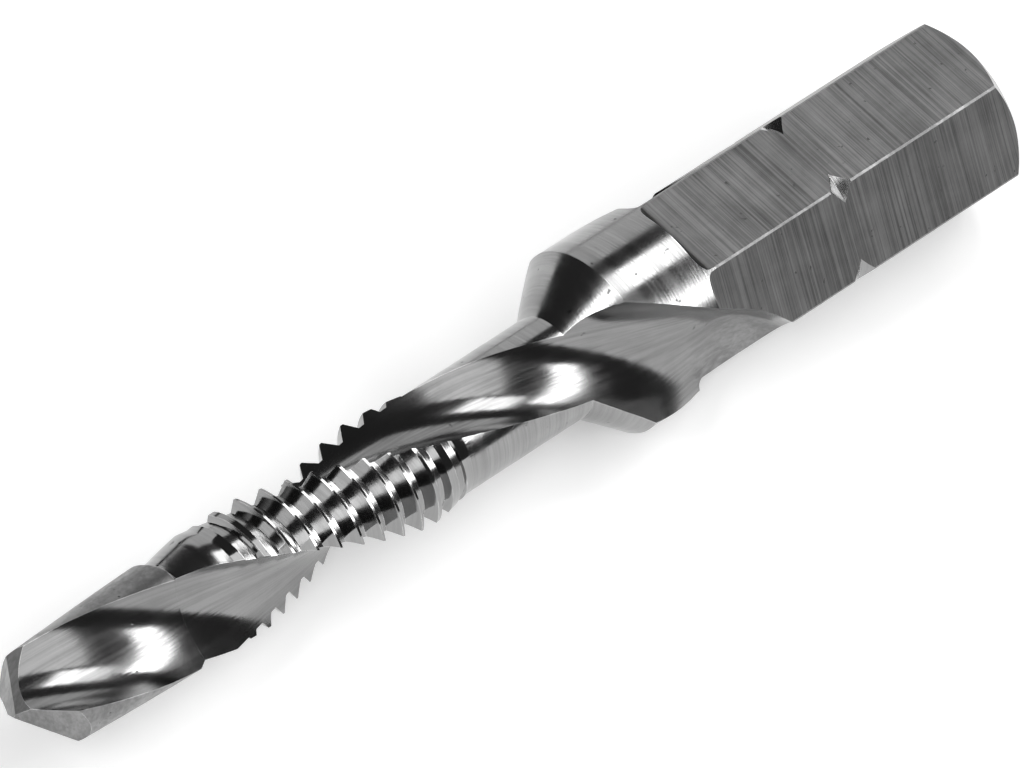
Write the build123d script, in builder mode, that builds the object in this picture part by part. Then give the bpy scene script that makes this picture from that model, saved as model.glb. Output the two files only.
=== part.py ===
from build123d import *
from math import atan, ceil, cos, degrees, radians, sin, sqrt, tan
import os

# Combined drill, tap and countersink on a hexagonal shank, ground from one steel bar.
# It lies along X with the drill point towards -X and one flat of the hexagon facing down.
# Sizes are in millimetres and angles in degrees. Places along the tool count from the
# front end of the hexagon, negative towards the drill point. Angles about the tool count
# from +Y towards +Z.

# Hexagonal shank, with the round collar in front of it
bar_diameter = 7.28
hex_sides = 6
hex_across_flats = 6.35
hex_length = 14.16
flat_end_radius = 0.40
shank_chamfer_length = 0.42
shank_chamfer_depth = 0.50
collar_length = 3.55

# Detent groove, shallow enough to notch only the corners of the hexagon
groove_position = 6.2
groove_width = 1.05
groove_depth = 0.44

# Countersink and neck
countersink_angle = 82.0
neck_diameter = 4.08
neck_length = 5.60

# Tap: a plain tapered lead, then a thread that deepens over its first turns and that
# runs out in a taper at the neck
thread_major_diameter = 4.92
thread_pitch = 0.87
thread_depth = 0.54
thread_angle = 60.0
thread_crest_flat = 0.09
thread_length = 12.0
thread_start = 0.50
thread_fade = 3.2
thread_end_taper = 2.3
thread_end_rise = 2.7
lead_diameter = 3.84
lead_plain_diameter = 4.48
lead_plain_length = 1.5
lead_length = 3.7

# Drill
drill_diameter = 4.30
drill_relief = 0.28
relief_from_flute = 35.0
drill_length = 6.69
drill_shoulder_length = 0.42
lip_angle = 67.5
chisel_turn = 61.0
flank_from_flute = 116.0
gash_from_flute = -17.0
gash_slope = 45.0
gash_offset = 0.10

# Flutes: rounded vees on one right-hand helix, shallower towards the shank
flute_count = 2
flute_lead = 37.4
flute_angle_at_hex = 187.0
flute_opening = 94.0
flute_bottom_radius = 1.8
flute_lift_start = 0.8
flute_lift_radius = 2.6
flute_section_step = 1.5
core_radius_at_tip = 0.32
core_even_length = 8.0
core_growth = 0.044

# Places and radii that follow from the sizes above
bar_radius = bar_diameter / 2
flat_distance = hex_across_flats / 2
neck_radius = neck_diameter / 2
thread_radius = thread_major_diameter / 2
root_radius = thread_radius - thread_depth
lead_radius = lead_diameter / 2
drill_radius = drill_diameter / 2
collar_front = -collar_length
neck_rear = collar_front - (bar_radius - neck_radius) / tan(radians(countersink_angle / 2))
thread_rear = neck_rear - neck_length
thread_full_rear = thread_rear - thread_end_taper
thread_front = thread_rear - thread_length
thread_full_front = thread_front + lead_length
ridge_front = thread_front - thread_start
plain_lead_end = thread_front + lead_plain_length
plain_lead_radius = lead_plain_diameter / 2
lead_slope = (thread_radius - lead_radius) / lead_length
end_slope = (thread_radius - neck_radius) / thread_end_taper
drill_rear = thread_front - drill_shoulder_length
tip = drill_rear - drill_length
middle = (hex_length + tip) / 2
turn_per_mm = 360.0 / flute_lead
flute_rear = flute_lift_start + sqrt(2 * flute_lift_radius * bar_radius)
step_top = flat_distance + flat_end_radius
clearance = 1.0
seat = 0.05
outer = bar_radius + clearance
rear = hex_length + clearance
upwards = 90.0
seam_angle = 200.0

tool_axis = Axis((0, 0, bar_radius), (1, 0, 0))


def cross_plane(place, angle=0.0):
    # Plane across the tool, its local x axis pointing outwards at the given angle
    outwards = (0, cos(radians(angle)), sin(radians(angle)))
    return Plane(origin=(place - middle, 0, bar_radius), x_dir=outwards, z_dir=(1, 0, 0))


def long_plane(angle):
    # Plane through the tool's axis: local x runs along the tool, local y outwards
    sideways = (0, sin(radians(angle)), -cos(radians(angle)))
    return Plane(origin=(-middle, 0, bar_radius), x_dir=(1, 0, 0), z_dir=sideways)


def facing_plane(place, angle, slope):
    # Ground plane of the drill point: it leans back by the slope towards the angle
    lean = radians(slope)
    outwards = (-cos(lean), sin(lean) * cos(radians(angle)), sin(lean) * sin(radians(angle)))
    return Plane(origin=(place - middle, 0, bar_radius), z_dir=outwards)


def places_along(start, end, step):
    count = ceil((end - start) / step)
    return [start + (end - start) * index / count for index in range(count + 1)]


def flute_angle(place):
    return flute_angle_at_hex + turn_per_mm * place


def core_radius(place):
    # The core is even in the drill, then grows steadily until the wheel lifts out on an arc
    growth = core_growth * max(0.0, place - tip - core_even_length)
    lift = max(0.0, place - flute_lift_start)
    return core_radius_at_tip + growth + lift**2 / (2 * flute_lift_radius)


# Flute cutters: an arc at the core that runs into two straight walls
wall_angle = radians(flute_opening / 2)
mouth = core_radius(flute_rear) + flute_bottom_radius
flute_cutters = []
for flute in range(flute_count):
    with BuildPart() as flute_cutter:
        for place in places_along(tip - clearance, flute_rear, flute_section_step):
            core = core_radius(place)
            meet_x = core + flute_bottom_radius * (1 - sin(wall_angle))
            meet_y = flute_bottom_radius * cos(wall_angle)
            mouth_y = meet_y + (mouth - meet_x) * tan(wall_angle)
            turn = flute_angle(place) + flute * 360.0 / flute_count
            with BuildSketch(cross_plane(place, turn)) as flute_section:
                with BuildLine():
                    ThreePointArc((meet_x, -meet_y), (core, 0), (meet_x, meet_y))
                    Line((meet_x, meet_y), (mouth, mouth_y))
                    Line((mouth, mouth_y), (mouth, -mouth_y))
                    Line((mouth, -mouth_y), (meet_x, -meet_y))
                make_face()
        loft()
    flute_cutters.append(flute_cutter.part)

# Thread ridge on a right-hand helix, its foot sunk a little into the core
foot_depth = thread_depth + seat
crest_half = thread_crest_flat / 2
foot_half = crest_half + foot_depth * tan(radians(thread_angle / 2))
with BuildPart() as thread_ridge:
    with BuildLine() as thread_path:
        Helix(
            thread_pitch,
            thread_rear - ridge_front,
            thread_radius,
            center=(ridge_front - middle, 0, bar_radius),
            direction=(1, 0, 0),
        )
    ridge_plane = Plane(thread_path.line @ 0, x_dir=(0, 0, 1), z_dir=thread_path.line % 0)
    with BuildSketch(ridge_plane) as ridge_section:
        with BuildLine():
            Polyline(
                (-foot_depth, -foot_half),
                (0, -crest_half),
                (0, crest_half),
                (-foot_depth, foot_half),
                close=True,
            )
        make_face()
    sweep(path=thread_path.line, is_frenet=True)
    # Crests held to a cone along the lead and to another towards the neck
    with BuildSketch(long_plane(seam_angle)) as crest_outline:
        with BuildLine():
            Polyline(
                (thread_front - seat, 0),
                (thread_front - seat, lead_radius),
                (thread_full_front + seat, thread_radius + seat * lead_slope),
                (thread_full_rear - seat, thread_radius + seat * end_slope),
                (thread_rear + seat, neck_radius - seat * end_slope),
                (thread_rear + seat, 0),
                close=True,
            )
        make_face()
    revolve(axis=tool_axis, mode=Mode.INTERSECT)
    for cutter in flute_cutters:
        add(cutter, mode=Mode.SUBTRACT)

# Drill body: each land follows a circle set off the axis, which relieves it behind the lip
with BuildPart() as drill_body:
    for place in places_along(tip - clearance, thread_front, flute_section_step):
        with BuildSketch(cross_plane(place, flute_angle(place) + relief_from_flute)) as lands:
            with Locations((drill_relief, 0), (-drill_relief, 0)):
                Circle(drill_radius - drill_relief)
    loft()
    with BuildSketch(long_plane(seam_angle)) as shoulder_stock:
        with BuildLine():
            Polyline(
                (drill_rear, drill_radius),
                (thread_front, lead_radius),
                (thread_front + clearance, lead_radius),
                (thread_front + clearance, drill_radius + clearance),
                (drill_rear, drill_radius + clearance),
                close=True,
            )
        make_face()
    revolve(axis=tool_axis, mode=Mode.SUBTRACT)
    for cutter in flute_cutters:
        add(cutter, mode=Mode.SUBTRACT)

# The bar turned to its outline behind the drill, with the thread's core
with BuildPart() as drill_tap:
    with BuildSketch(long_plane(upwards)) as outline:
        with BuildLine():
            Polyline(
                (thread_front, 0),
                (thread_front, lead_radius),
                (plain_lead_end, plain_lead_radius),
                (plain_lead_end + thread_fade, root_radius),
                (thread_rear - thread_end_rise, root_radius),
                (thread_rear, neck_radius),
                (neck_rear, neck_radius),
                (collar_front, bar_radius),
                (hex_length - shank_chamfer_length, bar_radius),
                (hex_length, bar_radius - shank_chamfer_depth),
                (hex_length, 0),
                close=True,
            )
        make_face()
    revolve(axis=tool_axis)
    # Six flats, each ending in the rounded step that the wheel leaves
    for side in range(hex_sides):
        turn = upwards + side * 360.0 / hex_sides
        with BuildSketch(long_plane(turn)) as flat_stock:
            with BuildLine():
                TangentArc((0, flat_distance), (-flat_end_radius, step_top), tangent=(-1, 0))
                Polyline(
                    (-flat_end_radius, step_top),
                    (-flat_end_radius, outer),
                    (rear, outer),
                    (rear, flat_distance),
                    (0, flat_distance),
                )
            make_face()
        extrude(amount=bar_radius, both=True, mode=Mode.SUBTRACT)
    # Detent groove
    with BuildSketch(long_plane(upwards)) as groove_section:
        with BuildLine():
            Polyline(
                (groove_position - groove_width / 2, bar_radius),
                (groove_position, bar_radius - groove_depth),
                (groove_position + groove_width / 2, bar_radius),
                close=True,
            )
        make_face()
    revolve(axis=tool_axis, mode=Mode.SUBTRACT)
    for cutter in flute_cutters:
        add(cutter, mode=Mode.SUBTRACT)
    add(drill_body.part)
    add(thread_ridge.part)
    # Drill point: two flanks behind the lips, and a gash that thins the web beside each
    flank_slope = 1 / (tan(radians(lip_angle)) * cos(radians(chisel_turn)))
    for flute in range(flute_count):
        turn = flute_angle(tip) + flute * 360.0 / flute_count
        flank_turn = turn + flank_from_flute
        split(bisect_by=facing_plane(tip, flank_turn, degrees(atan(flank_slope))), keep=Keep.BOTTOM)
        gash_place = tip - gash_offset * tan(radians(gash_slope))
        split(bisect_by=facing_plane(gash_place, turn + gash_from_flute, gash_slope), keep=Keep.BOTTOM)

drill_tap.part.label = "drill_tap"
os.makedirs("parts", exist_ok=True)
export_step(drill_tap.part, "parts/drill_tap.step")
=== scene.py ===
import bpy
import bmesh
from math import atan, cos, pi, radians, sin, sqrt, tan
from mathutils import Matrix, Vector


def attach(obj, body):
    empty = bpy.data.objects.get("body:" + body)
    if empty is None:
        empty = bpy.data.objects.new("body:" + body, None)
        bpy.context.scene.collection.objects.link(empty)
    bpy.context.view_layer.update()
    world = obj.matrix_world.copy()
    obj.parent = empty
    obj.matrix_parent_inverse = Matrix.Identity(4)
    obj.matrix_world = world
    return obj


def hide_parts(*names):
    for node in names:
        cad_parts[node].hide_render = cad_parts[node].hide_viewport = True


# Combined drill, tap and countersink on a hexagonal shank. The piece is modelled in
# millimetres round the X axis, counted from the front end of the hexagon, and goes to
# metres and to its place in the frame at the end.

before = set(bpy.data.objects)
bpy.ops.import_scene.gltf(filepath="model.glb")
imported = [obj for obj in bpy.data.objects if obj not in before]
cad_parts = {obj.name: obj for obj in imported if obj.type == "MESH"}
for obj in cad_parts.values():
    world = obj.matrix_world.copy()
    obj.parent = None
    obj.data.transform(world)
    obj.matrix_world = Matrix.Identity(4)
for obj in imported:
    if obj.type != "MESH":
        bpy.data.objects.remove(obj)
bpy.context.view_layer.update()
mm = 0.001
toolAxis = Vector((1, 0, 0))
steelNames = ["flatSteel", "turnedSteel", "fluteSteel", "threadSteel", "landSteel", "pointSteel"]
slotOf = {name: index for index, name in enumerate(steelNames)}

tool = {
    "barRadius": 3.64, "flatDistance": 3.175, "hexLength": 14.16, "flatEndRadius": 0.40,
    "chamferLength": 0.42, "chamferDepth": 0.50, "collarLength": 3.55,
    "groovePlace": 6.2, "grooveWidth": 0.95, "grooveDepth": 0.26,
    "sinkAngle": 82, "neckRadius": 2.04, "neckLength": 5.60,
    "threadRadius": 2.46, "threadPitch": 0.87, "threadDepth": 0.54, "crestFlat": 0.09,
    "threadAngle": 60, "threadLength": 12.0, "threadStart": 0.50, "threadFade": 3.2,
    "threadEndTaper": 2.3, "threadEndRise": 2.7,
    "leadRadius": 1.92, "leadPlainRadius": 2.24, "leadPlainLength": 1.5, "leadLength": 3.7,
    "drillRadius": 2.15, "drillRelief": 0.28, "reliefFromFlute": 35, "drillLength": 6.69,
    "shoulderLength": 0.42, "lipAngle": 67.5, "chiselTurn": 61, "flankFromFlute": 116,
    "gashFromFlute": -17, "gashSlope": 45, "gashOffset": 0.10, "farFlankShare": 0.72,
    "fluteLead": 37.4, "fluteAngleAtHex": 187, "fluteOpening": 94, "fluteBottomRadius": 3.0,
    "liftStart": 0.8, "liftRadius": 2.6, "coreAtTip": 0.55, "coreEvenLength": 8.0,
    "coreGrowth": 0.044, "heelNarrowFrom": -0.5, "heelNarrowTo": 3.0, "heelWidthAtEnd": 0.55,
}
making = {
    # steps round the tool, gaps between rings along it, and the angle past which an edge is sharp
    "bodySteps": 160, "envelopeSteps": 128, "landSteps": 120, "ridgeStepsPerTurn": 110,
    "bodyGap": 0.35, "shoulderGap": 0.5, "envelopeGap": 0.6, "fluteGap": 0.22, "landGap": 0.25,
    "fluteArcSteps": 26, "fluteWallCuts": 14, "flatArcSteps": 10, "sharpAngle": 26,
    # how far the cutters run past the bar; the flats' blocks end above the axis at their top, and
    # each stops a little short of the hexagon's corner
    "clearance": 1.0, "shoulderClearance": 2.0, "fluteReach": 1.6, "flatTop": 5.0, "flatApart": 0.008,
    # how deep the thread's foot sits in the core, how far its envelope stands off both ends, the
    # room round the drill in front of its shoulder, and how far short of the core the drill ends
    "ridgeSeat": 0.05, "crestSeat": 0.03, "shoulderSpare": 0.3, "drillShort": 0.002,
    # the distances within which points are merged, and where the hexagon's corners are found
    "merge": 1e-5, "ridgeMerge": 1e-6, "halvesMerge": 1e-4, "lastMerge": 2e-4,
    "cornerFrom": 0.05, "cornerDepth": 0.02,
}
collarFront = -tool["collarLength"]
neckRear = collarFront - (tool["barRadius"] - tool["neckRadius"]) / tan(radians(tool["sinkAngle"] / 2))
threadRear = neckRear - tool["neckLength"]
threadFront = threadRear - tool["threadLength"]
drillRear = threadFront - tool["shoulderLength"]
tip = drillRear - tool["drillLength"]
middle = (tool["hexLength"] + tip) / 2
fluteRear = tool["liftStart"] + sqrt(2 * tool["liftRadius"] * tool["barRadius"])
rootRadius = tool["threadRadius"] - tool["threadDepth"]
turnPerMm = 2 * pi / tool["fluteLead"]


def fluteAngle(place):
    return radians(tool["fluteAngleAtHex"]) + turnPerMm * place


def coreRadius(place):
    growth = tool["coreGrowth"] * max(0.0, place - tip - tool["coreEvenLength"])
    lift = max(0.0, place - tool["liftStart"])
    return tool["coreAtTip"] + growth + lift ** 2 / (2 * tool["liftRadius"])


def vertsOf(items):
    return [item for item in items if isinstance(item, bmesh.types.BMVert)]


def turnVerts(bm, verts, angle):
    bmesh.ops.rotate(bm, verts=verts, cent=(0, 0, 0), matrix=Matrix.Rotation(angle, 3, "X"))


def linkPiece(name, bm, steel=None):
    # an object of the bmesh; with no steel given, its faces keep the ones that they have
    mesh = bpy.data.meshes.new(name)
    for steelName in steelNames:
        mesh.materials.append(bpy.data.materials[steelName])
    if steel:
        for face in bm.faces:
            face.material_index = slotOf[steel]
    bm.to_mesh(mesh)
    bm.free()
    piece = bpy.data.objects.new(name, mesh)
    bpy.context.scene.collection.objects.link(piece)
    return piece


def closeUp(bm, distance=making["merge"]):
    # merges doubles, fills the open ends and turns every face outwards
    bmesh.ops.remove_doubles(bm, verts=bm.verts, dist=distance)
    openEdges = [edge for edge in bm.edges if edge.is_boundary]
    if openEdges:
        bmesh.ops.holes_fill(bm, edges=openEdges, sides=0)
    bmesh.ops.recalc_face_normals(bm, faces=bm.faces)


def spinOutline(name, outline, steel, steps, ringGap):
    # a closed turned body from (place, radius) pairs; long runs get more rings
    bm = bmesh.new()
    previous = bm.verts.new((*outline[0], 0))
    for (fromPlace, fromRadius), (toPlace, toRadius) in zip(outline, outline[1:]):
        rings = int(abs(toPlace - fromPlace) / ringGap) + 1
        for ring in range(1, rings + 1):
            share = ring / rings
            corner = bm.verts.new((fromPlace + (toPlace - fromPlace) * share,
                                   fromRadius + (toRadius - fromRadius) * share, 0))
            bm.edges.new((previous, corner))
            previous = corner
    bmesh.ops.spin(bm, geom=bm.verts[:] + bm.edges[:], cent=(0, 0, 0), axis=toolAxis,
                   angle=2 * pi, steps=steps, use_merge=True)
    closeUp(bm)
    return linkPiece(name, bm, steel)


def combine(base, other, operation):
    # an exact Boolean, applied; each face keeps the steel of the body that it comes from
    modifier = base.modifiers.new(operation.lower(), "BOOLEAN")
    modifier.operation = operation
    modifier.solver = "EXACT"
    modifier.material_mode = "INDEX"
    modifier.object = other
    graph = bpy.context.evaluated_depsgraph_get()
    result = bpy.data.meshes.new_from_object(base.evaluated_get(graph))
    base.modifiers.clear()
    base.data = result
    bpy.data.objects.remove(other)
    return base


def heelWidth(place):
    # the wheel leaves the bar on the heel side first
    share = (place - tool["heelNarrowFrom"]) / (tool["heelNarrowTo"] - tool["heelNarrowFrom"])
    return 1 + (tool["heelWidthAtEnd"] - 1) * min(1.0, max(0.0, share))


def sweepLoop(bm, places, turnOf, liftOf, heelOf):
    # extrudes the loop of edges from place to place; it turns, lifts and narrows on its way
    loop = bm.edges[:]
    for before, place in zip(places, places[1:]):
        made = bmesh.ops.extrude_edge_only(bm, edges=loop)["geom"]
        ring = vertsOf(made)
        loop = [item for item in made if isinstance(item, bmesh.types.BMEdge)
                and all(vert in ring for vert in item.verts)]
        turnVerts(bm, ring, turnOf(place) - turnOf(before))
        outwards = Vector((0, cos(turnOf(place)), sin(turnOf(place))))
        lift = liftOf(place) - liftOf(before)
        bmesh.ops.translate(bm, verts=ring, vec=Vector((place - before, 0, 0)) + outwards * lift)
        heelward = Vector((0, -sin(turnOf(place)), cos(turnOf(place))))
        for vert in ring:
            offset = vert.co.dot(heelward)
            if offset > 0:
                vert.co += heelward * offset * (heelOf(place) / heelOf(before) - 1)


def placesAlong(start, end, step):
    count = int((end - start) / step) + 1
    return [start + (end - start) * index / count for index in range(count + 1)]


def makeFluteCutters():
    bm = bmesh.new()
    wall = radians(tool["fluteOpening"] / 2)
    bottom = tool["fluteBottomRadius"]
    places = placesAlong(tip - making["clearance"], fluteRear, making["fluteGap"])
    core = coreRadius(places[0])
    reach = tool["barRadius"] + making["fluteReach"]
    centre = Vector((places[0], core + bottom, 0))
    # the arc at the core runs from one straight wall to the other
    half = pi / 2 - wall
    start = bm.verts.new(centre + Vector((0, -bottom * cos(half), -bottom * sin(half))))
    bmesh.ops.spin(bm, geom=[start], cent=centre, axis=toolAxis, angle=-2 * half,
                   steps=making["fluteArcSteps"])
    bm.verts.ensure_lookup_table()
    ends = [vert for vert in bm.verts if len(vert.link_edges) == 1]
    ends.sort(key=lambda vert: vert.co.z)
    mouths = []
    walls = []
    for end, side in zip(ends, (-1, 1)):
        made = bmesh.ops.extrude_vert_indiv(bm, verts=[end])
        out = reach - end.co.y
        bmesh.ops.translate(bm, verts=made["verts"], vec=(0, out, side * out * tan(wall)))
        mouths += made["verts"]
        walls += made["edges"]
    bm.edges.new(mouths)
    bmesh.ops.subdivide_edges(bm, edges=walls, cuts=making["fluteWallCuts"])
    turnVerts(bm, bm.verts, fluteAngle(places[0]))
    sweepLoop(bm, places, fluteAngle, coreRadius, heelWidth)
    closeUp(bm)
    second = bmesh.ops.duplicate(bm, geom=bm.verts[:] + bm.edges[:] + bm.faces[:])["geom"]
    turnVerts(bm, vertsOf(second), pi)
    return linkPiece("fluteCutters", bm, "fluteSteel")


def makeThreadRidge():
    # the thread's section, swept on its helix with its foot sunk into the core
    bm = bmesh.new()
    foot = tool["threadDepth"] + making["ridgeSeat"]
    crestHalf = tool["crestFlat"] / 2
    footHalf = crestHalf + foot * tan(radians(tool["threadAngle"] / 2))
    start = threadFront - tool["threadStart"]
    top = tool["threadRadius"]
    section = [(-footHalf, top - foot), (-crestHalf, top), (crestHalf, top), (footHalf, top - foot)]
    corners = [bm.verts.new((start + along, 0, height)) for along, height in section]
    for first, second in zip(corners, corners[1:] + corners[:1]):
        bm.edges.new((first, second))
    turns = (threadRear - start) / tool["threadPitch"]
    steps = int(turns * making["ridgeStepsPerTurn"])
    bmesh.ops.spin(bm, geom=bm.verts[:] + bm.edges[:], cent=(0, 0, 0), axis=toolAxis,
                   angle=2 * pi * turns, dvec=toolAxis * (threadRear - start) / steps, steps=steps)
    closeUp(bm, making["ridgeMerge"])
    return linkPiece("threadRidge", bm, "threadSteel")


def makeCrestEnvelope():
    # holds the crests to a cone along the lead and to another towards the neck
    fullFront = threadFront + tool["leadLength"]
    fullRear = threadRear - tool["threadEndTaper"]
    top = tool["threadRadius"]
    leadSlope = (top - tool["leadRadius"]) / tool["leadLength"]
    endSlope = (top - tool["neckRadius"]) / tool["threadEndTaper"]
    seat = making["crestSeat"]
    outline = [(threadFront - seat, 0), (threadFront - seat, tool["leadRadius"]),
               (fullFront + seat / leadSlope, top + seat), (fullRear - seat / endSlope, top + seat),
               (threadRear + seat, tool["neckRadius"] - seat * endSlope), (threadRear + seat, 0)]
    return spinOutline("crestEnvelope", outline, "threadSteel",
                       making["envelopeSteps"], making["envelopeGap"])


def makeBlank():
    # the bar turned to its outline behind the drill, with the thread's core and the groove
    groove = tool["groovePlace"]
    bar = tool["barRadius"]
    plainEnd = threadFront + tool["leadPlainLength"]
    outline = [(threadFront, 0), (threadFront, tool["leadRadius"]), (plainEnd, tool["leadPlainRadius"]),
               (plainEnd + tool["threadFade"], rootRadius),
               (threadRear - tool["threadEndRise"], rootRadius),
               (threadRear, tool["neckRadius"]), (neckRear, tool["neckRadius"]), (collarFront, bar),
               (groove - tool["grooveWidth"] / 2, bar), (groove, bar - tool["grooveDepth"]),
               (groove + tool["grooveWidth"] / 2, bar), (tool["hexLength"] - tool["chamferLength"], bar),
               (tool["hexLength"], bar - tool["chamferDepth"]), (tool["hexLength"], 0)]
    return spinOutline("blank", outline, "turnedSteel", making["bodySteps"], making["bodyGap"])


def makeDrillBody():
    bm = bmesh.new()
    places = placesAlong(tip - making["clearance"], threadFront, making["landGap"])
    relief = tool["drillRelief"]
    full = tool["drillRadius"]

    def landAngle(place):
        return fluteAngle(place) + radians(tool["reliefFromFlute"])

    # each land follows a circle set off the axis: the halves meet on the line between them
    across = Matrix.Translation((places[0], relief, 0)) @ Matrix.Rotation(pi / 2, 4, "Y")
    bmesh.ops.create_circle(bm, cap_ends=False, radius=full - relief, segments=making["landSteps"],
                            matrix=across)
    bmesh.ops.bisect_plane(bm, geom=bm.verts[:] + bm.edges[:], plane_co=(0, 0, 0),
                           plane_no=(0, -1, 0), clear_outer=True)
    half = bmesh.ops.duplicate(bm, geom=bm.verts[:] + bm.edges[:])["geom"]
    turnVerts(bm, vertsOf(half), pi)
    bmesh.ops.remove_doubles(bm, verts=bm.verts, dist=making["halvesMerge"])
    turnVerts(bm, bm.verts, landAngle(places[0]))
    sweepLoop(bm, places, landAngle, lambda place: 0.0, lambda place: 1.0)
    closeUp(bm)
    body = linkPiece("drillBody", bm, "landSteel")
    slope = (full - tool["leadRadius"]) / tool["shoulderLength"]
    spare = making["shoulderSpare"]
    short = making["drillShort"]
    front = tip - making["shoulderClearance"]
    outline = [(front, 0), (front, full + spare), (drillRear - spare / slope, full + spare),
               (threadFront - short, tool["leadRadius"] + short * slope), (threadFront - short, 0)]
    shoulder = spinOutline("shoulder", outline, "landSteel", making["bodySteps"], making["shoulderGap"])
    return combine(body, shoulder, "INTERSECT")


def makeFlatCutters():
    bm = bmesh.new()
    low = tool["flatDistance"]
    radius = tool["flatEndRadius"]
    start = bm.verts.new((0, 0, low))
    # the rounded step that the wheel leaves, then the block above the flat
    bmesh.ops.spin(bm, geom=[start], cent=(0, 0, low + radius), axis=(0, 1, 0),
                   angle=pi / 2, steps=making["flatArcSteps"])
    bm.verts.ensure_lookup_table()
    stepTop = [vert for vert in bm.verts if len(vert.link_edges) == 1 and vert is not start][0]
    rear = tool["hexLength"] + making["clearance"]
    path = [(stepTop.co.x, making["flatTop"]), (rear, making["flatTop"]), (rear, low)]
    previous = stepTop
    for along, height in path:
        corner = bm.verts.new((along, 0, height))
        bm.edges.new((previous, corner))
        previous = corner
    bm.edges.new((previous, start))
    block = bmesh.ops.contextual_create(bm, geom=bm.edges[:])["faces"]
    # wider than the flat, but short of the next block, which begins at the hexagon's corner
    halfWidth = low * tan(pi / 6) - making["flatApart"]
    bmesh.ops.translate(bm, verts=bm.verts, vec=(0, -halfWidth, 0))
    made = bmesh.ops.extrude_face_region(bm, geom=block, use_keep_orig=True)["geom"]
    bmesh.ops.translate(bm, verts=vertsOf(made), vec=(0, 2 * halfWidth, 0))
    closeUp(bm)
    whole = bm.verts[:] + bm.edges[:] + bm.faces[:]
    for side in range(1, 6):
        copied = bmesh.ops.duplicate(bm, geom=whole)["geom"]
        turnVerts(bm, vertsOf(copied), side * pi / 3)
    return linkPiece("flatCutters", bm, "flatSteel")


def grindPoint(bm):
    # two flanks behind the lips, as planes through the tip, and the gash beside each
    flankSlope = 1 / (tan(radians(tool["lipAngle"])) * cos(radians(tool["chiselTurn"])))
    flankSlopes = (flankSlope * tool["farFlankShare"], flankSlope)
    gashSlope = radians(tool["gashSlope"])
    gashPlace = tip - tool["gashOffset"] * tan(gashSlope)
    for flute in range(2):
        turn = fluteAngle(tip) + flute * pi
        flank = (tip, turn + radians(tool["flankFromFlute"]), atan(flankSlopes[flute]))
        gash = (gashPlace, turn + radians(tool["gashFromFlute"]), gashSlope)
        for place, angle, lean in (flank, gash):
            normal = Vector((-cos(lean), sin(lean) * cos(angle), sin(lean) * sin(angle)))
            bmesh.ops.bisect_plane(bm, geom=bm.verts[:] + bm.edges[:] + bm.faces[:],
                                   plane_co=(place, 0, 0), plane_no=normal, clear_outer=True)
            openEdges = [edge for edge in bm.edges if edge.is_boundary]
            for face in bmesh.ops.holes_fill(bm, edges=openEdges, sides=0)["faces"]:
                face.material_index = slotOf["pointSteel"]


def makeDrillTap():
    ridge = combine(makeThreadRidge(), makeCrestEnvelope(), "INTERSECT")
    print("ridge", len(ridge.data.polygons))
    body = combine(makeBlank(), ridge, "UNION")
    print("threaded blank", len(body.data.polygons))
    body = combine(body, makeFlatCutters(), "DIFFERENCE")
    print("flats", len(body.data.polygons))
    body = combine(body, makeDrillBody(), "UNION")
    body = combine(body, makeFluteCutters(), "DIFFERENCE")
    print("fluted", len(body.data.polygons))
    bm = bmesh.new()
    bm.from_mesh(body.data)
    grindPoint(bm)
    bmesh.ops.remove_doubles(bm, verts=bm.verts, dist=making["lastMerge"])
    cornerReach = tool["barRadius"] - making["cornerDepth"]
    for face in bm.faces:
        # the narrow corners of the hexagon are ground with its flats
        centre = face.calc_center_median()
        onHexagon = face.material_index == slotOf["turnedSteel"] and centre.x > making["cornerFrom"]
        if onHexagon and sqrt(centre.y ** 2 + centre.z ** 2) > cornerReach:
            face.material_index = slotOf["landSteel"]
    bmesh.ops.translate(bm, verts=bm.verts, vec=(-middle, 0, tool["barRadius"]))
    bmesh.ops.scale(bm, verts=bm.verts, vec=(mm, mm, mm))
    for face in bm.faces:
        face.smooth = True
    openCount = sum(1 for edge in bm.edges if not edge.is_manifold)
    bpy.data.objects.remove(body)
    piece = linkPiece("drillTap", bm)
    piece.data.set_sharp_from_angle(angle=radians(making["sharpAngle"]))
    print("drill tap faces", len(piece.data.polygons), "open edges", openCount)
    return piece


# Materials. Marks that several steels share are node groups; each steel sets its own values.
marking = {
    # ground and turned lines: noise detail of the broad and fine ones, and the range that shows
    "broadDetail": 3.0, "fineDetail": 5.0, "lineRoughness": 0.6, "lineFrom": 0.34, "lineTo": 0.66,
    # pits and clouds
    "pitDetail": 2.0, "pitRoughness": 0.5, "pitLevel": 0.80, "pitRim": 0.05,
    "cloudDetail": 5.0, "cloudRoughness": 0.62, "cloudFrom": 0.25, "cloudTo": 0.75,
    # painted edge highlights: how far the rounded normal turns away, and the noise that breaks them up
    "edgeSamples": 6, "edgeFrom": 0.985, "edgeTo": 0.86, "breakScale": 1500.0, "breakDetail": 3.0,
    "breakFrom": 0.36, "breakTo": 0.60, "highlightLeast": 0.15,
    # how much of a steel's tone, gloss and relief comes from lines, clouds and pits
    "lineTone": 0.65, "cloudTone": 0.35, "lineGloss": 0.5, "cloudGloss": 0.5,
    "glossFrom": 0.1, "glossTo": 0.9, "pitDepth": 0.5,
}


def newGroup(name, inputs, outputs):
    group = bpy.data.node_groups.new(name, "ShaderNodeTree")
    for socketName, kind, value in inputs:
        socket = group.interface.new_socket(socketName, in_out="INPUT", socket_type=kind)
        if value is not None:
            socket.default_value = value
    for socketName, kind in outputs:
        group.interface.new_socket(socketName, in_out="OUTPUT", socket_type=kind)
    return group, group.nodes.new("NodeGroupInput"), group.nodes.new("NodeGroupOutput")


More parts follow.
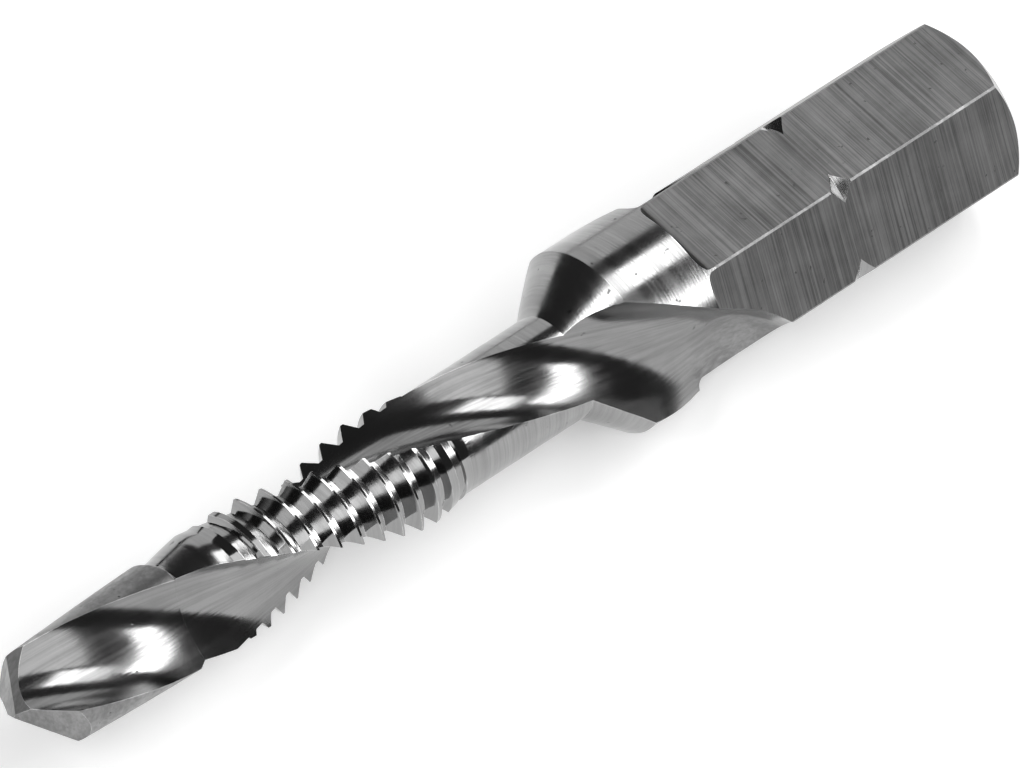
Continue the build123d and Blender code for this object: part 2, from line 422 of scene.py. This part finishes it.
def addNode(tree, kind, settings=None, values=None, links=None):
    node = tree.nodes.new(kind)
    for key, value in (settings or {}).items():
        setattr(node, key, value)
    for key, value in (values or {}).items():
        node.inputs[key].default_value = value
    for key, socket in (links or {}).items():
        tree.links.new(socket, node.inputs[key])
    return node


def mapRange(tree, socket, low, high, toLow=0.0, toHigh=1.0):
    return addNode(tree, "ShaderNodeMapRange", {"interpolation_type": "SMOOTHSTEP"},
                   {"From Min": low, "From Max": high, "To Min": toLow, "To Max": toHigh},
                   {"Value": socket}).outputs["Result"]


def mixValues(tree, operation, first, second):
    node = addNode(tree, "ShaderNodeMath", {"operation": operation})
    for index, item in enumerate((first, second)):
        if isinstance(item, (int, float)):
            node.inputs[index].default_value = item
        else:
            tree.links.new(item, node.inputs[index])
    return node.outputs[0]


def makeGrindGroup():
    # wheel and turning marks: noise drawn out along one direction, fine lines over broad ones
    group, source, result = newGroup(
        "grindMarks",
        [("Vector", "NodeSocketVector", None), ("Broad Scale", "NodeSocketVector", (2000, 60, 60)),
         ("Fine Scale", "NodeSocketVector", (9000, 200, 200)), ("Fine Share", "NodeSocketFloat", 0.5)],
        [("Mask", "NodeSocketFloat"), ("Height", "NodeSocketFloat")])
    layers = []
    for key, detail in (("Broad Scale", marking["broadDetail"]), ("Fine Scale", marking["fineDetail"])):
        scaled = addNode(group, "ShaderNodeVectorMath", {"operation": "MULTIPLY"}, None,
                         {0: source.outputs["Vector"], 1: source.outputs[key]})
        noise = addNode(group, "ShaderNodeTexNoise", None,
                        {"Scale": 1.0, "Detail": detail, "Roughness": marking["lineRoughness"]},
                        {"Vector": scaled.outputs[0]})
        layers.append(noise.outputs["Fac"])
    mixed = addNode(group, "ShaderNodeMix", {"data_type": "FLOAT"}, None,
                    {"Factor": source.outputs["Fine Share"], "A": layers[0], "B": layers[1]})
    mask = mapRange(group, mixed.outputs["Result"], marking["lineFrom"], marking["lineTo"])
    group.links.new(mask, result.inputs["Mask"])
    group.links.new(mixed.outputs["Result"], result.inputs["Height"])
    return group


def makePitGroup():
    # small pits and specks, and the soft clouding of handled steel
    group, source, result = newGroup(
        "pitsAndClouds",
        [("Vector", "NodeSocketVector", None), ("Pit Scale", "NodeSocketFloat", 2600.0),
         ("Pit Share", "NodeSocketFloat", 0.12), ("Cloud Scale", "NodeSocketFloat", 420.0)],
        [("Pits", "NodeSocketFloat"), ("Clouds", "NodeSocketFloat")])
    spots = addNode(group, "ShaderNodeTexNoise", None,
                    {"Detail": marking["pitDetail"], "Roughness": marking["pitRoughness"]},
                    {"Vector": source.outputs["Vector"], "Scale": source.outputs["Pit Scale"]})
    level = mixValues(group, "SUBTRACT", marking["pitLevel"], source.outputs["Pit Share"])
    over = mixValues(group, "SUBTRACT", spots.outputs["Fac"], level)
    group.links.new(mapRange(group, over, 0.0, marking["pitRim"]), result.inputs["Pits"])
    smudges = addNode(group, "ShaderNodeTexNoise", None,
                      {"Detail": marking["cloudDetail"], "Roughness": marking["cloudRoughness"]},
                      {"Vector": source.outputs["Vector"], "Scale": source.outputs["Cloud Scale"]})
    clouds = mapRange(group, smudges.outputs["Fac"], marking["cloudFrom"], marking["cloudTo"])
    group.links.new(clouds, result.inputs["Clouds"])
    return group


def makeEdgeHighlightGroup():
    # painted highlight: where the rounded normal leaves the true one there is an edge, and its colour is
    # painted bright there
    group, source, result = newGroup(
        "paintedEdgeHighlight", [("Width", "NodeSocketFloat", 0.00005), ("Vector", "NodeSocketVector", None)],
        [("Edge", "NodeSocketFloat")])
    rounded = addNode(group, "ShaderNodeBevel", {"samples": marking["edgeSamples"]}, None,
                      {"Radius": source.outputs["Width"]})
    geometry = addNode(group, "ShaderNodeNewGeometry")
    match = addNode(group, "ShaderNodeVectorMath", {"operation": "DOT_PRODUCT"}, None,
                    {0: rounded.outputs["Normal"], 1: geometry.outputs["Normal"]})
    edge = mapRange(group, match.outputs["Value"], marking["edgeFrom"], marking["edgeTo"])
    broken = addNode(group, "ShaderNodeTexNoise", None,
                     {"Scale": marking["breakScale"], "Detail": marking["breakDetail"]},
                     {"Vector": source.outputs["Vector"]})
    share = mapRange(group, broken.outputs["Fac"], marking["breakFrom"], marking["breakTo"],
                     marking["highlightLeast"], 1.0)
    group.links.new(mixValues(group, "MULTIPLY", edge, share), result.inputs["Edge"])
    return group


grindMarks = makeGrindGroup()
pitsAndClouds = makePitGroup()
paintedEdgeHighlight = makeEdgeHighlightGroup()


def weighedSum(tree, first, firstShare, second, secondShare):
    return mixValues(tree, "ADD", mixValues(tree, "MULTIPLY", first, firstShare),
                     mixValues(tree, "MULTIPLY", second, secondShare))


def makeSteel(name, values):
    material = bpy.data.materials.new(name)
    material.use_nodes = True
    tree = material.node_tree
    shader = tree.nodes["Principled BSDF"]
    shader.inputs["Metallic"].default_value = 1.0
    objectPlace = addNode(tree, "ShaderNodeTexCoord").outputs["Object"]
    centred = addNode(tree, "ShaderNodeMapping", None, {"Location": (0, 0, -tool["barRadius"] * mm)},
                      {"Vector": objectPlace}).outputs["Vector"]
    if values["alongFlute"]:
        # turned back by the flute's own helix, so that the marks run along it
        place = addNode(tree, "ShaderNodeSeparateXYZ", None, None, {"Vector": centred}).outputs["X"]
        turnBack = mixValues(tree, "MULTIPLY", place, -turnPerMm / mm)
        centred = addNode(tree, "ShaderNodeVectorRotate", {"rotation_type": "X_AXIS"}, None,
                          {"Vector": centred, "Angle": turnBack}).outputs["Vector"]
    marks = addNode(tree, "ShaderNodeGroup", {"node_tree": grindMarks},
                    {"Broad Scale": values["broad"], "Fine Scale": values["fine"],
                     "Fine Share": values["fineShare"]}, {"Vector": centred})
    spots = addNode(tree, "ShaderNodeGroup", {"node_tree": pitsAndClouds},
                    {"Pit Scale": values["pitScale"], "Pit Share": values["pitShare"],
                     "Cloud Scale": values["cloudScale"]}, {"Vector": objectPlace})
    edges = addNode(tree, "ShaderNodeGroup", {"node_tree": paintedEdgeHighlight},
                    {"Width": values["edgeWidth"]}, {"Vector": objectPlace})
    mask = marks.outputs["Mask"]
    clouds = spots.outputs["Clouds"]
    brightness = weighedSum(tree, mask, marking["lineTone"], clouds, marking["cloudTone"])
    tone = addNode(tree, "ShaderNodeMix", {"data_type": "RGBA"},
                   {"A": (*values["dark"], 1), "B": (*values["light"], 1)}, {"Factor": brightness})
    pitted = addNode(tree, "ShaderNodeMix", {"data_type": "RGBA"}, {"B": (*values["pit"], 1)},
                     {"Factor": spots.outputs["Pits"], "A": tone.outputs["Result"]})
    # painted highlight: the edge colour is laid over the base colour along the edges
    highlighted = addNode(tree, "ShaderNodeMix", {"data_type": "RGBA"}, {"B": (*values["edge"], 1)},
                   {"Factor": edges.outputs["Edge"], "A": pitted.outputs["Result"]})
    tree.links.new(highlighted.outputs["Result"], shader.inputs["Base Color"])
    low, high = values["roughness"]
    gloss = weighedSum(tree, mask, marking["lineGloss"], clouds, marking["cloudGloss"])
    rough = mapRange(tree, gloss, marking["glossFrom"], marking["glossTo"], high, low)
    tree.links.new(rough, shader.inputs["Roughness"])
    pitDepth = mixValues(tree, "MULTIPLY", spots.outputs["Pits"], marking["pitDepth"])
    height = mixValues(tree, "SUBTRACT", marks.outputs["Height"], pitDepth)
    bump = addNode(tree, "ShaderNodeBump", None,
                   {"Strength": values["bump"], "Distance": values["bumpDepth"]}, {"Height": height})
    tree.links.new(bump.outputs["Normal"], shader.inputs["Normal"])
    return material


def steelValues(dark, light, roughness, **changes):
    # the edge value is the colour of the painted edge highlight
    values = {"alongFlute": False, "broad": (2200, 60, 60), "fine": (9000, 260, 260), "fineShare": 0.5,
              "pitScale": 3200.0, "pitShare": 0.06, "cloudScale": 420.0, "edgeWidth": 0.00004,
              "dark": (dark,) * 3, "light": (light,) * 3, "pit": (0.10,) * 3, "edge": (0.80,) * 3,
              "roughness": roughness, "bump": 0.4, "bumpDepth": 0.00001}
    values.update(changes)
    return values


steels = {
    # the flats' painted edge highlight is dimmer than the other steels'
    "flatSteel": steelValues(0.08, 0.25, (0.29, 0.40), broad=(4200, 50, 50), fine=(17000, 160, 160),
                             fineShare=0.62, bump=0.9, bumpDepth=0.000012, pitShare=0.10,
                             edge=(0.40,) * 3, edgeWidth=0.00002),
    "turnedSteel": steelValues(0.24, 0.34, (0.12, 0.22), fine=(14000, 300, 300), pitShare=0.10),
    "fluteSteel": steelValues(0.18, 0.29, (0.12, 0.21), alongFlute=True, broad=(40, 3000, 3000),
                              fine=(120, 9000, 9000)),
    "threadSteel": steelValues(0.25, 0.34, (0.07, 0.14), fine=(14000, 300, 300), bump=0.2),
    "landSteel": steelValues(0.18, 0.28, (0.32, 0.46), broad=(1500, 1500, 1500), fine=(6000, 6000, 6000),
                             pitShare=0.10),
    "pointSteel": steelValues(0.16, 0.30, (0.30, 0.42), broad=(900, 2600, 900), fine=(4000, 9000, 4000),
                              pitShare=0.10),
}
for name, values in steels.items():
    makeSteel(name, values)
print("steels", len(steels))
drillTap = makeDrillTap()
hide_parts("drill_tap")
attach(drillTap, "root")

# Floor, light and camera
stage = {"floorSize": 1.2, "floorColour": (0.93, 0.93, 0.93), "floorRoughness": 0.9,
         "floorGlow": 0.32, "worldLevel": 0.04}


def makeFloor():
    # pale paper that glows a little to the camera and in reflections, and keeps its shadow
    bm = bmesh.new()
    bmesh.ops.create_grid(bm, x_segments=1, y_segments=1, size=stage["floorSize"] / 2)
    mesh = bpy.data.meshes.new("floor")
    bm.to_mesh(mesh)
    bm.free()
    floor = bpy.data.objects.new("floor", mesh)
    bpy.context.scene.collection.objects.link(floor)
    material = bpy.data.materials.new("floorPaper")
    material.use_nodes = True
    tree = material.node_tree
    shader = tree.nodes["Principled BSDF"]
    shader.inputs["Base Color"].default_value = (*stage["floorColour"], 1)
    shader.inputs["Roughness"].default_value = stage["floorRoughness"]
    rays = addNode(tree, "ShaderNodeLightPath").outputs
    mirrored = mixValues(tree, "MAXIMUM", rays["Is Glossy Ray"], rays["Is Transmission Ray"])
    seen = mixValues(tree, "MAXIMUM", rays["Is Camera Ray"], mirrored)
    tree.links.new(seen, shader.inputs["Emission Color"])
    shader.inputs["Emission Strength"].default_value = stage["floorGlow"]
    mesh.materials.append(material)


def makeWorld():
    world = bpy.data.worlds.new("studio")
    bpy.context.scene.world = world
    world.use_nodes = True
    background = world.node_tree.nodes["Background"]
    background.inputs["Color"].default_value = (1, 1, 1, 1)
    background.inputs["Strength"].default_value = stage["worldLevel"]


makeFloor()
makeWorld()
print("floor and world")

# Where the photograph was taken from: degrees up from the floor, turned from the tool's side
# and rolled; pixels per millimetre at a distance in millimetres; where the hexagon's front end
# lies in the photograph, in pixels along and across the tool; and the photograph's size
view = {"elevation": 62, "swing": 28, "roll": 32.87, "scale": 28.4, "distance": 380,
        "along": 400.5, "across": 609.3, "imageWidth": 1024, "imageHeight": 768,
        "sensorWidth": 36, "clipStart": 0.01}
elevation = radians(view["elevation"])
swing = radians(view["swing"])
roll = radians(view["roll"])
side = Vector((0, -cos(elevation), sin(elevation)))
down = Vector((0, -sin(elevation), -cos(elevation)))
back = side * cos(swing) - toolAxis * sin(swing)
along = toolAxis * cos(swing) + side * sin(swing)
right = along * cos(roll) + down * sin(roll)
up = along * sin(roll) - down * cos(roll)

# Each lamp stands round the camera's direction: degrees to the right and above, distance, height
# and width, brightness of its face, and degrees by which its top leans outwards
softboxes = {
    "broadBox": (22, 14, 0.5, (0.60, 0.23), 1.7, 0),
    "crownBox": (38, 61, 0.5, (0.21, 0.15), 4.2, 0),
    "stripBox": (62, 26, 0.5, (0.66, 0.10), 6.5, 11),
    "rearBox": (-150, 70, 0.5, (0.30, 0.30), 0.9, 0),
    "cameraBox": (-10, -6, 0.5, (0.30, 0.17), 3.0, 0),
    "leftBox": (-36, 12, 0.5, (0.16, 0.12), 6.0, 0),
}


def addSoftbox(name, aside, above, reach, size, level, lean):
    light = bpy.data.lights.new(name, "AREA")
    light.shape = "RECTANGLE"
    light.size, light.size_y = size
    light.energy = level * pi * size[0] * size[1]
    lamp = bpy.data.objects.new(name, light)
    ahead = back * cos(radians(aside)) + right * sin(radians(aside))
    facing = ahead * cos(radians(above)) + up * sin(radians(above))
    upright = (up - facing * facing.dot(up)).normalized()
    upright = upright * cos(radians(lean)) - facing.cross(upright) * sin(radians(lean))
    turned = Matrix((upright, facing.cross(upright), facing)).transposed().to_4x4()
    lamp.matrix_world = Matrix.Translation(facing * reach) @ turned
    bpy.context.scene.collection.objects.link(lamp)


def addCamera():
    # placed so that the hexagon's front end falls on its pixel of the photograph
    hexFront = Vector((-middle, 0, tool["barRadius"]))
    pixelX = view["along"] * cos(roll) + view["across"] * sin(roll)
    pixelY = -view["along"] * sin(roll) + view["across"] * cos(roll)
    offsetX = (pixelX - view["imageWidth"] / 2) / view["scale"]
    offsetY = (view["imageHeight"] / 2 - pixelY) / view["scale"]
    location = hexFront - right * offsetX - up * offsetY + back * view["distance"]
    cameraData = bpy.data.cameras.new("camera")
    cameraData.sensor_width = view["sensorWidth"]
    cameraData.lens = view["scale"] * view["distance"] / view["imageWidth"] * view["sensorWidth"]
    cameraData.clip_start = view["clipStart"]
    camera = bpy.data.objects.new("camera", cameraData)
    turn = Matrix((right, up, back)).transposed().to_4x4()
    camera.matrix_world = Matrix.Translation(location * mm) @ turn
    bpy.context.scene.collection.objects.link(camera)
    bpy.context.scene.camera = camera


for name, values in softboxes.items():
    addSoftbox(name, *values)
print("softboxes", len(softboxes))
addCamera()
print("camera")
bpy.context.scene.view_settings.view_transform = "Standard"
